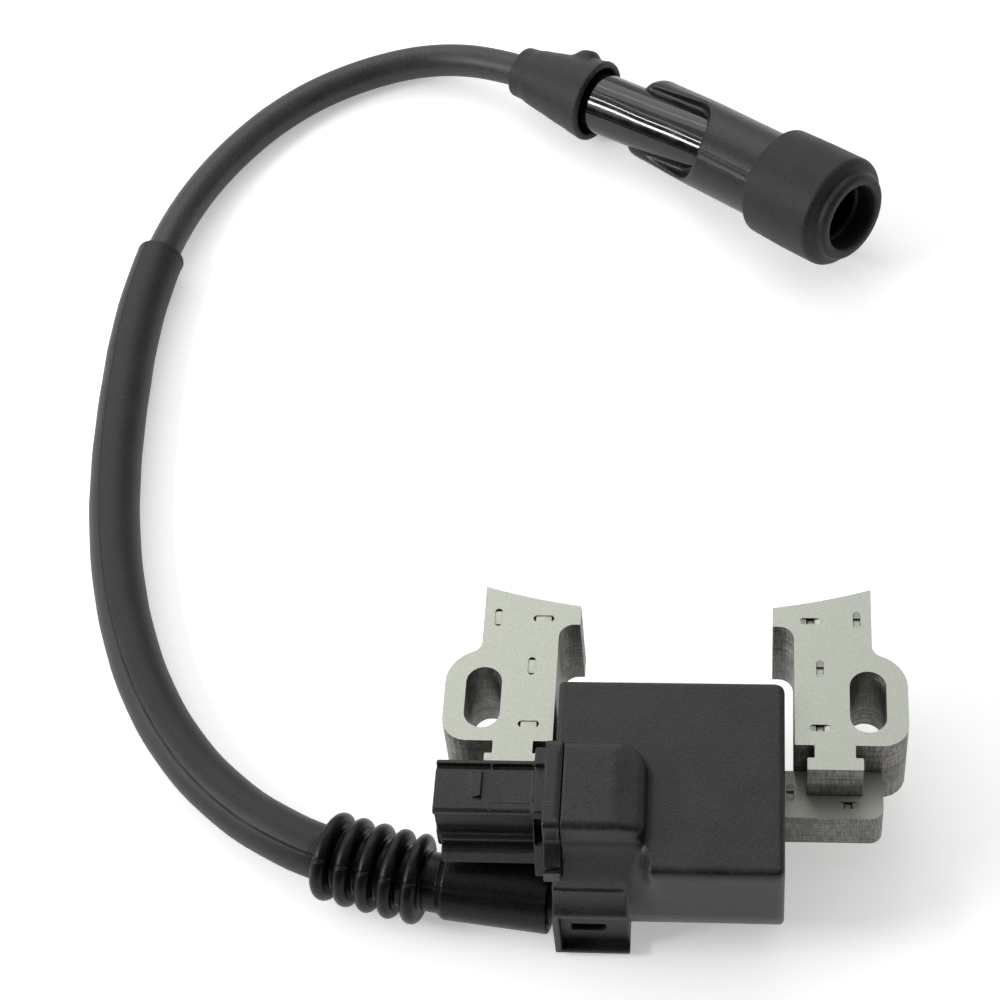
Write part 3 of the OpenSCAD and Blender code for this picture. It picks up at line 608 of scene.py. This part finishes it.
def case_field(p):
    x, y, z = p.T
    # Left of the boss's right side the front's upper part leans; behind the pocket it is set back
    lean = SHOULDER[0] * (y + 38.3) + SHOULDER[1] * (z - 12)
    behind = meet(box_2d(y, z, (-38.3, 2.6), (-11, 22), (14.0, 1.0, 1.3, 1.3)), lean, 1.2)
    behind = meet(behind, box_2d(x, y, (-22.4, 30), (-38.3, 2.6), (1.2, 0, 0, 1.2)), 1.0)
    right = box_2d(y, z, (-40.5, 2.6), (-11, 22), (19.6, 1.0, 1.3, 2.0))
    right = meet(right, box_2d(x, y, (-22.4, 21.4), (-40.5, 2.6), (1.2, 2.0, 2.3, 1.2)), 1.0)
    middle = meet(right, lean, 1.2)
    body = behind + (middle - behind) * smooth(x, -9.0, -8.2)
    # The step to the deeper right front grows softer towards its foot
    blend = 0.3 * np.clip(22 - z, 0, 14)
    body = body + (right - body) * smooth(x, -6.6 - blend, -3.4 + blend)
    top = 27 - 0.20 * np.maximum(x + 9.8, 0)
    boss = meet(box_2d(x, y, (-21.5, -4.6), (-33.7, -14.4), (0.3, 1.8, 5.2, 0.3)), z - top, 1.7)
    boss = np.maximum(boss, 14 - z)
    body = join(body, boss, 1.3)
    tray = meet(box_2d(x, y, (-22.4, -8.2), (-38.5, -30.3), 0.3), slab(z, (-9.7, 5.0)), 0.3)
    lip = box_2d(x, y, (-22.8, -8.2), (-40.6, -37.3), 0.35)
    tray = join(tray, meet(lip, slab(z, (-9.7, -8.5)), 0.3))
    end_lip = box_2d(x, y, (-22.8, -21.4), (-40.6, -37.3), 0.35)
    tray = join(tray, meet(end_lip, slab(z, (-9.7, 4.6)), 0.3))
    # The pocket's roof flares out of the front wall
    roof = box_2d(y, z, (-40.6, -36), (4.2, 11.4), (0.3, 0, 0, 0))
    roof = meet(roof, slab(x, (-22.5, -8.2)), 0.3)
    tray = join(tray, cut(roof, np.hypot(y + 45.8, z - 10.9) - 7.5, 0.3), 0.2)
    body = join(body, tray, 0.3)
    ex, ey, ez = EXIT.local(p)
    tower = meet(np.hypot(ex, ey) - 5.3, slab(ez, (-1, 10)), 0.3)
    body = join(body, tower, 0.3)
    # Inside: the cavity that the casting fills, the yoke's tunnel and the lead's bore
    inner = box_2d(y, z, (-36.5, 0.8), (-9.2, 20.2), (12.2, 0.4, 0.4, 6.2))
    inner = np.minimum(inner, box_2d(y, z, (-24.3, 0.8), (-14, -5)))
    cavity = np.maximum(np.maximum(inner, lean + 1.8), slab(x, (-20.6, 19.6)))
    hollow = box_2d(x, y, (-18.9, -6.1), (-32.2, -15.9), (0.3, 1.0, 3.9, 0.3))
    cavity = np.minimum(cavity, np.maximum(hollow, slab(z, (17, 25.2))))
    body = cut(body, cavity, 0.3)
    tunnel = np.maximum(box_2d(y, z, (-20.65, -9.85), (-0.2, 9.7)), slab(x, (-24, 24)))
    body = cut(body, tunnel, 0.3)
    flange = np.maximum(box_2d(x, y, (-30, -20.35), (-45, -14.25)), 14.45 - z)
    body = cut(body, flange, 0.15)
    slit = block(p, (-19.3, -12.8), (-42, -37.3), (-3.5, -1.6))
    body = cut(body, slit, 0.2)
    return cut(body, np.maximum(np.hypot(ex, ey) - 4.05, slab(ez, (-0.2, 11))), 0.3)


SHOULDER = unit([-9.0, 4.1])
solid("case_shell", case_field, (-24, -41.6, -12), (23, 4, 28.4), 0.42, CASE, "coil_case", 0.02)


# ---------------------------------------------------------------- connector

def connector_field(p):
    x, y, z = p.T
    low = box_2d(y, z, (-38.5, -14.3), (14.5, 22), (0.6, 0.4, 0.4, 8.0))
    high = box_2d(y, z, (-33.7, -14.3), (14.5, 27), (0.3, 0.3, 1.2, 1.4))
    body = meet(join(low, high, 1.0), slab(x, (-23.8, -20.4)), 0.35)
    shroud = box_2d(y, z, (-28, -16.6), (9.5, 23), (0.6, 0.6, 0.8, 0.5))
    shroud = meet(shroud, slab(x, (-45, -23)), 0.4)
    recess = np.maximum(box_2d(y, z, (-30, -26.9), (14.4, 21.4), 0.3), slab(x, (-46, -24.6)))
    shroud = cut(shroud, recess, 0.15)
    groove = np.maximum(box_2d(y, z, (-18.9, -17.8), (22.0, 24)), slab(x, (-46, -26.2)))
    shroud = cut(shroud, groove, 0.15)
    seam = meet(box_2d(y, z, (-19.6, -17.0), (21, 22.95)), slab(x, (-34.4, -34.0)), 0.1)
    shroud = join(shroud, seam)
    ledge = meet(box_2d(y, z, (-27.9, -26.4), (22, 23.18), 0.1), slab(x, (-34.2, -24)), 0.1)
    shroud = join(shroud, ledge, 0.1)
    lip = meet(box_2d(y, z, (-28.25, -27), (21.3, 22.8), 0.2), slab(x, (-45, -24)), 0.2)
    shroud = join(shroud, lip, 0.1)
    rib = meet(box_2d(y, z, (-28.9, -27), (12.7, 13.8), 0.3), slab(x, (-44.4, -24)), 0.3)
    line = meet(box_2d(y, z, (-28.3, -27), (11.9, 12.3), 0.1), slab(x, (-44.4, -24)), 0.1)
    shelf = box_2d(y, z, (-31.3, -27), (7.8, 11.3), (0.3, 0.2, 0.2, 0.3))
    shelf = meet(shelf, slab(x, (-44.2, -24)), 0.3)
    shelf = meet(shelf, -0.92 * (y + 31.2) + 0.39 * (z - 8.3), 0.3)
    shroud = join(join(join(shroud, rib, 0.15), line, 0.1), shelf, 0.25)
    ramp = np.maximum(slab(y, (-25.2, -19.8)), np.maximum(x + 35.9, -38.4 - x))
    ramp = meet(np.maximum(ramp, slab(z, (21, 26))), (z - 22.95 - 0.42 * (x + 38.2)) * 0.92, 0.12)
    shroud = join(shroud, ramp, 0.12)
    body = join(body, shroud, 0.4)
    # Gusset: a slanted web in front of the flange, open at its top
    web = np.maximum(slab(y, (-36, -16)), slab(z, (9.0, 23.4)))
    web = np.maximum(web, -0.93 * (y + 28.5) + 0.37 * (z - 23.4))
    web = meet(web, slab(x, (-26.0, -23.2)), 0.3)
    web = cut(web, block(p, (-25.6, -24.3), (-34, -27.9), (16.2, 21.8)), 0.2)
    body = join(body, web, 0.3)
    ear = meet(box_2d(x, y, (-26.0, -23.4), (-18.6, -14.6), 0.4), slab(z, (20.8, 24.4)), 0.4)
    body = join(body, ear, 0.4)
    mouth = np.maximum(box_2d(y, z, (-25.9, -18.0), (11.5, 21.3), 0.5), slab(x, (-46, -29)))
    key = np.maximum(box_2d(y, z, (-23.2, -21.4), (20.9, 22)), slab(x, (-44.4, -30)))
    body = cut(body, mouth, 0.35)
    return join(body, key, 0.15)


solid("connector_body", connector_field, (-46.2, -39.8, 8.4), (-19.4, -13.2, 28.2), 0.32, HOUSING,
      "connector_housing", 0.02)


def blade(name, y, stands_for):
    """Contact blade with a chamfered tip and a foot turned up to the board."""
    def field(p):
        x, _, z = p.T
        flat = block(p, (-42, -19.5), (y - 1.15, y + 1.15), (16.2, 17.0), 0.1)
        chamfer = (x + 42) * 0.6
        flat = np.maximum(flat, np.abs(z - 16.6) - 0.1 - chamfer)
        flat = np.maximum(flat, np.abs(p[:, 1] - y) - 0.7 - chamfer)
        foot = block(p, (-20.3, -19.5), (y - 1.15, y + 1.15), (16.3, 18.25), 0.1)
        return join(flat, foot, 0.2)
    solid(name, field, (-42.6, y - 1.7, 15.6), (-19, y + 1.7, 18.8), 0.22, CONTACT,
          stands_for, 0.02)


CONTACT = metal("tinned_brass", (0.75, 0.70, 0.58), 0.32)
blade("signal_blade", -24.4, "signal_pin")
blade("stop_blade", -19.5, "stop_pin")


def strap_field(p):
    up = block(p, (21.5, 22.3), (-17.5, -13), (-4, -0.06), 0.15)
    foot = meet(box_2d(p[:, 0], p[:, 1], (21.5, 25.0), (-17.5, -13), (0.2, 1.0, 1.0, 0.2)),
                slab(p[:, 2], (-0.85, -0.06)), 0.15)
    return join(up, foot, 0.6)


TINNED = metal("tinned_steel", (0.62, 0.62, 0.60), 0.4)
solid("ground_tab", strap_field, (21, -18, -4.5), (25.6, -12.5, 0.5), 0.2, TINNED,
      "ground_strap", 0.02)


# ---------------------------------------------------------------- lead

ROUTE = [
    (-22.4, -32.7, -2), (-35, -31.15, -2), (-47.5, -29.6, -2), (-58.6, -26.9, -2),
    (-70.1, -23.3, -2.4), (-79, -18.9, -3.2), (-86.9, -13.6, -4.2), (-96.1, -5.4, -5),
    (-104.4, 4.7, -5.4), (-111.4, 16.1, -5.4), (-117, 28.5, -5.4), (-121.3, 41.6, -5.4),
    (-124.4, 55, -5.4), (-126.6, 69, -5.4), (-128.1, 84.1, -5.4), (-128.8, 99.1, -5.4),
    (-128.9, 113.1, -5.4), (-128.1, 127, -5.4), (-126.3, 139.9, -5.4), (-123.4, 152.2, -5.9),
    (-119.1, 164.3, -6.6), (-112.8, 176.1, -7), (-104.5, 187, -7), (-94.3, 196.2, -7),
    (-81.9, 203.1, -6.8), (-69, 205.9, -5.7), (-56.2, 203.9, -3.7), (-42.8, 197.8, -1.7),
    (-33.7, 192.1, -1.1), (-24.4, 186.3, -0.5),
]
LEAD_R = 4.0
KNOTS = np.array(ROUTE, dtype=float)
SWING = np.array([KNOTS[min(i + 1, len(KNOTS) - 1)] - KNOTS[max(i - 1, 0)]
                  for i in range(len(KNOTS))]) / 6


def make_lead():
    curve = bpy.data.curves.new("lead", "CURVE")
    curve.dimensions = "3D"
    curve.resolution_u = 16
    curve.bevel_depth = LEAD_R * MM
    curve.bevel_resolution = 10
    curve.use_fill_caps = True
    spline = curve.splines.new("BEZIER")
    spline.bezier_points.add(len(ROUTE) - 1)
    for knot, p, swing in zip(spline.bezier_points, KNOTS * MM, SWING * MM):
        knot.handle_left_type = knot.handle_right_type = "FREE"
        knot.co, knot.handle_left, knot.handle_right = p, p - swing, p + swing
    obj = bpy.data.objects.new("lead", curve)
    SCENE.collection.objects.link(obj)
    return obj


PER_KNOT = 60


def lead_samples():
    """Points close together along the lead's centre line, and their distances from its start."""
    t = np.linspace(0, 1, PER_KNOT, endpoint=False)[:, None]
    pieces = []
    for a, b, sa, sb in zip(KNOTS[:-1], KNOTS[1:], SWING[:-1], SWING[1:]):
        pieces.append((1 - t) ** 3 * a + 3 * (1 - t) ** 2 * t * (a + sa)
                      + 3 * (1 - t) * t * t * (b - sb) + t ** 3 * b)
    points = np.vstack(pieces + [KNOTS[-1:]])
    steps = np.linalg.norm(np.diff(points, axis=0), axis=1)
    return points, np.concatenate([[0], np.cumsum(steps)])


LINE, DISTANCE = lead_samples()


def along_lead(s):
    """Path for a sweep that follows the lead."""
    def at(d):
        return np.stack([np.interp(d, DISTANCE, LINE[:, i]) for i in range(3)], axis=1)
    heading = unit(at(np.asarray(s) + 0.4) - at(np.asarray(s) - 0.4))
    side = unit(np.cross(heading, [0, 0, 1]))
    return at(s), heading, np.cross(side, heading)


def knot_distance(i):
    return DISTANCE[i * PER_KNOT]


lead = make_lead()
lead.data.materials.append(JACKET)
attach(lead, "root")
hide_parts("lead_jacket")


# ---------------------------------------------------------------- outlet boot, bellows and sleeve

def ridge(angle, where, width, height):
    """A low mould seam along a sweep, at an angle in degrees and of a width in degrees."""
    d = np.degrees((angle - np.radians(where) + math.pi) % (2 * math.pi) - math.pi)
    return height * np.exp(-(d / width) ** 2)


def boot_swell(s, angle):
    rubber = 0.03 * np.sin(s * 1.7 + 3 * angle) * np.sin(s * 0.6)
    groove = -ridge(angle, 127.5, 1.5, 0.32)
    other = ridge(angle, 308, 2.5, 0.15)
    nub = 0.5 * np.exp(-((s - 13.5) / 0.5) ** 2) * ridge(angle, 214, 5, 1.0)
    return rubber + groove + other + nub


def make_boot():
    outer = [(1.0, 7.2, 0.5), (21.8, 7.0, 0.8), (23.2, 5.9, 0.5), (25.4, 5.9, 0.6)]
    for i in range(5):
        middle = 25.5 + (i + 0.5) * 4.5
        outer += [(middle - 1.35, 5.8, 0.5), (middle - 1.65, 9.0, 1.5), (middle + 1.65, 9.0, 1.5),
                  (middle + 1.35, 5.8, 0.5)]
    outer += [(48.0, 6.1, 0.6)]
    bore = 4.15
    inner = [(48.0, bore, 0.2), (10.3, bore, 0), (10.3, 5.4, 0), (1.0, 5.4, 0.2)]
    sweep("outlet_boot_rubber", along_lead, outer + inner, BOOT, "outlet_boot", sides=240,
          swell=boot_swell, arc=6)


make_boot()


def sleeve_swell(s, angle):
    seam = 127 - 11 * smooth(s, 50, 125)
    return (0.05 * np.sin(s * 0.11) * np.cos(angle) + 0.03 * np.sin(s * 0.43 + angle)
            - ridge(angle, seam, 1.6, 0.28))


def make_sleeve():
    start, end = knot_distance(4) - 1.5, knot_distance(18)
    stops = np.linspace(start + 2, end - 2, 90)
    outer = [(start, 5.45, 0.5)] + [(s, 5.6, 0) for s in stops] + [(end - 0.2, 5.75, 0.5)]
    inner = [(end - 0.2, 4.75, 0.3), (end - 5, 4.12, 1.0), (start, 4.12, 0.2)]
    extra = [(s, 4.12, 0) for s in stops[::-3] if s < end - 7]
    sweep("lead_sleeve_tube", along_lead, outer + inner[:2] + extra + inner[2:], SLEEVE,
          "lead_sleeve", sides=180, swell=sleeve_swell)


make_sleeve()


# ---------------------------------------------------------------- plug cap

BODY = Axes((37.5, 138.4, 7.8), -41.5, 8)
ELBOW = BODY.at(-48)
STEM = Axes(ELBOW, -32, 3)


def stem_path(s):
    """The tube's centre line: straight along the stem, then bending into the body."""
    s = np.asarray(s, dtype=float)
    bend = smooth(s, 5, 11)[:, None]
    heading = unit(STEM.z + bend * (BODY.z - STEM.z))
    # The bend is short, so its points are taken between the two straight lines
    place = STEM.origin + s[:, None] * STEM.z
    inside = BODY.at(0) + (s[:, None] - 48) * BODY.z
    place = place + bend * (inside - place)
    side = unit(np.cross(heading, [0, 0, 1]))
    return place, heading, np.cross(side, heading)


def make_tube():
    stops = [(s, 7.4, 0) for s in np.linspace(-30, 3, 12)] + [(s, 7.4, 0) for s in (5, 6, 7, 8)]
    outer = [(-42, 7.4, 0.4)] + stops + [(9.5, 7.2, 0.4)]
    inner = [(9.5, 4.6, 0.2), (6, 3.3, 0.3), (-31, 3.1, 0.2), (-31, 4.15, 0.2), (-42, 4.15, 0.3)]
    sweep("cap_stem", stem_path, outer + inner, TUBE, "cap_tube", sides=120,
          swell=lambda s, a: 0.035 * np.sin(3 * a + 0.10 * s) + 0.02 * np.sin(s * 0.35 + 2 * a))


make_tube()


def body_field(p):
    x, y, z = BODY.local(p)
    rho = np.hypot(x, y)
    r = 10.4 - 0.4 * smooth(-z, 46, 63) - 1.2 * smooth(-z, 62.5, 67.5) ** 2
    body = meet(meet(rho - r, -68 - z, 5.5), z + 6, 1.0)
    # Opening for the stem: a round-ended slot, as if the stem had been pulled out sideways
    sx, sy, sz = STEM.local(p)
    w = sx * math.sin(SCOOP) - sy * math.cos(SCOOP)
    h = -(sx * math.cos(SCOOP) + sy * math.sin(SCOOP))
    flare = 1 + 0.06 * np.maximum(h, 0)
    slot_end = np.hypot(w / flare, np.maximum(sz + 2.2, 0)) - 7.45
    # The slot's walls run down to the stem in a hollow round
    slot = meet(np.maximum(slot_end, -h), 6.9 - np.hypot(sx, sy), 3.0)
    body = cut(body, slot, 1.0)
    body = cut(body, np.maximum(np.hypot(sx, sy) - 7.15, sz - 7), 0.05)
    body = cut(body, np.maximum(np.hypot(x, y) - 7.4, slab(z, (-44, -36))), 0.2)
    body = cut(body, np.maximum(rho - 8.2, -38 - z), 0.3)
    # Mould flash along the front side, and a shallow groove beside it
    phi = np.degrees(np.arctan2(y, -x))
    flash = np.exp(-((phi + 49) / 1.6) ** 2) * 0.16 - np.exp(-((phi + 54) / 2.4) ** 2) * 0.12
    return body - flash * smooth(-z, 6, 9) * (1 - smooth(-z, 40, 42))


SCOOP = math.radians(45)
solid("cap_shell", body_field, BODY.at(-31) - 40, BODY.at(-31) + 40, 0.5, CAP, "cap_body", 0.0)


def ring_swell(s, angle):
    return 0.04 * np.sin(2 * angle + 1) + 0.02 * np.sin(5 * angle + s)


sweep("cap_ring_rubber", straight(BODY), [
    (-23, 10.5, 0.2), (-23, 12.9, 0.6), (-14, 13.2, 0), (-3.3, 13.25, 1.9), (-2.4, 11.3, 0.5),
    (-2.0, 10.7, 0.5), (0.0, 10.6, 1.4), (0.0, 7.9, 0.9), (-1.6, 7.7, 0.5), (-5.2, 7.7, 0.3),
    (-5.6, 7.0, 0.3), (-6.6, 7.0, 0.3), (-6.8, 8.0, 0.2), (-5.95, 8.2, 0), (-5.95, 10.45, 0)],
      RING, "cap_ring",
      sides=120, swell=ring_swell, arc=7)


def make_lead_boot():
    """A flared boot with a low round knob, which needs rings close together along the flare."""
    outer = [(-52.8, 4.5, 0), (-52.8, 6.3, 0.8), (-49.6, 6.5, 0.6), (-47.8, 7.0, 2.0),
             (-29.6, 10.3, 0.9), (-29.6, 8.5, 0.8), (-33.0, 8.0, 0.3), (-33.0, 7.5, 0),
             (-42.1, 7.5, 0), (-42.1, 4.5, 0)]
    ring_gap = 0.5
    knob_at, knob_angle = -37.2, 142

    def swell(s, angle):
        d = np.degrees((angle - math.radians(knob_angle) + math.pi) % (2 * math.pi) - math.pi)
        across = np.radians(d) * 8.6
        reach = np.hypot(s - knob_at, across)
        dome = 1.9 * np.exp(-(reach / 3.0) ** 4)
        return dome + 0.05 * np.sin(2 * angle) + 0.03 * np.sin(s * 0.9 + angle)

    fine = []
    for a, b in zip(outer, outer[1:]):
        fine.append(a)
        span = math.dist(a[:2], b[:2])
        if span > 3 and a[0] < b[0]:
            count = int(span / ring_gap)
            keep = max(a[2], 0.3), max(b[2], 0.3)
            for k in range(1, count):
                t = k / count
                if keep[0] < t * span < span - keep[1]:
                    fine.append((a[0] + t * (b[0] - a[0]), a[1] + t * (b[1] - a[1]), 0))
    fine.append(outer[-1])
    sweep("cap_lead_boot_rubber", straight(STEM), fine, BOOT_CAP, "cap_lead_boot", sides=144,
          swell=swell)


BOOT_CAP = plastic("cap_boot_rubber", (0.014, 0.014, 0.0145), 0.50, grain=0.4, relief=0.12,
                   dust=0.10, spread=0.85)
make_lead_boot()


# ---------------------------------------------------------------- inner pieces

def winding(name, color, wire):
    """Enamelled wire laid in close turns around the core."""
    n = material(name)
    turns = n.add("TexWave", {"Vector": n.coords(), "Scale": 1 / (wire * MM) / 6.283,
                              "Distortion": 0.4}, bands_direction="X").outputs["Fac"]
    base = n.mix(turns, *shades(color, 0.35))
    return n.surface(base, n.ramp(turns, 0, 1, 0.35, 0.22), n.bump(turns, wire / 2), Metallic=0.9)


def board_material():
    n = material("board")
    weave = n.noise(0.4, 2.0, stretch=(1, 0.2, 1))
    base = n.mix(n.ramp(weave, 0.3, 0.7), (0.01, 0.05, 0.02), (0.02, 0.09, 0.035))
    return n.surface(base, n.ramp(weave, 0.3, 0.7, 0.3, 0.45), n.bump(weave, 0.01))


BOBBIN = plastic("bobbin_nylon", (0.55, 0.50, 0.40), 0.45, dust=0.0)
EPOXY = plastic("potting_epoxy", (0.012, 0.012, 0.013), 0.22,
                grain=3.0, relief=0.12, dust=0.05, gloss=0.5)
CHIP = plastic("chip_epoxy", (0.02, 0.02, 0.021), 0.5, dust=0.0)
COPPER = metal("copper", (0.80, 0.42, 0.28), 0.3)
BRASS = metal("brass", (0.72, 0.55, 0.26), 0.3)
SPRING = metal("spring_steel", (0.6, 0.6, 0.6), 0.25)
PLAIN = {
    "primary_bobbin": BOBBIN, "secondary_bobbin": BOBBIN,
    "primary_winding": winding("primary_wire", (0.62, 0.24, 0.10), 0.5),
    "secondary_winding": winding("secondary_wire", (0.50, 0.20, 0.08), 0.12),
    "igniter_board": board_material(), "power_transistor": CHIP, "trigger_chip": CHIP,
    "charge_capacitor": plastic("capacitor_sleeve", (0.03, 0.03, 0.12), 0.4, dust=0.0),
    "potting": EPOXY, "ht_terminal": BRASS, "ht_link": COPPER, "primary_link": COPPER,
    "lead_conductor": COPPER, "cap_lead_screw": BRASS, "cap_spring": SPRING, "cap_plug_clip": BRASS,
    "cap_resistor": plastic("resistor_ceramic", (0.25, 0.07, 0.04), 0.35, dust=0.0),
}
for name, mat in PLAIN.items():
    NODES[name].data.materials.clear()
    NODES[name].data.materials.append(mat)


# ---------------------------------------------------------------- floor and light

def make_stage():
    mesh = bpy.data.meshes.new("floor")
    half = 6.0
    z = (REST_Z - FLOOR_GAP) * MM
    mesh.from_pydata([(-half, -half, z), (half, -half, z), (half, half, z), (-half, half, z)],
                     [], [(0, 1, 2, 3)])
    floor = bpy.data.objects.new("floor", mesh)
    SCENE.collection.objects.link(floor)
    n = material("floor")
    mesh.materials.append(n.surface((0.9, 0.9, 0.9), 0.9, Emission_Color=(1, 1, 1, 1),
                                    Emission_Strength=0.38))


def make_world():
    """A white room: a little darker on the viewer's side, darkest in the viewer's own direction."""
    world = bpy.data.worlds.new("studio")
    SCENE.world = world
    n = Nodes(world)
    where = n.add("TexCoord").outputs["Generated"]
    parts = n.add("SeparateXYZ", {"Vector": where}).outputs
    front = n.ramp(parts[1], -0.08, -0.45)
    side = n.ramp(parts[0], -0.7, 0.7, 1.25, 0.75)
    level = n.math("SUBTRACT", WORLD_TOP, n.math("MULTIPLY", front, WORLD_TOP - WORLD_FRONT))
    back = n.add("Background", {"Color": (1, 1, 1), "Strength": n.math("MULTIPLY", level, side)})
    n.tree.links.new(back.outputs[0], n.add("OutputWorld").inputs["Surface"])


WORLD_TOP, WORLD_FRONT = 0.76, 0.08


def make_light(name, place, aim, size, power):
    data = bpy.data.lights.new(name, "AREA")
    data.shape = "RECTANGLE"
    data.size, data.size_y = size
    data.energy = power
    light = bpy.data.objects.new(name, data)
    light.location = place
    light.rotation_mode = "QUATERNION"
    light.rotation_quaternion = (Vector(aim) - Vector(place)).to_track_quat("-Z", "Y")
    SCENE.collection.objects.link(light)


make_stage()
make_world()
make_light("overhead", (-0.3, 0.9, 0.9), (0, 0.05, 0), (1.2, 0.8), 5)
make_light("left", (-0.9, 0.0, 0.35), (0, 0, 0), (0.6, 0.4), 1.5)
# Narrow strips that give the glossy stem its lines of light: direction from the stem, width, power
STRIPS = [((-0.24, 0.53, 0.81), 0.05, 0.10), ((-0.57, 0.0, 0.82), 0.04, 0.12),
          ((-0.694, -0.208, 0.686), 0.03, 0.9), ((-0.795, -0.385, 0.47), 0.10, 3.4)]
for number, (way, width, power) in enumerate(STRIPS):
    target = STEM.at(-15) * MM
    make_light("strip_%d" % number, target + 1.0 * np.array(way), target, (0.30, width), power)
SCENE.view_settings.view_transform = "Standard"

bpy.context.view_layer.update()
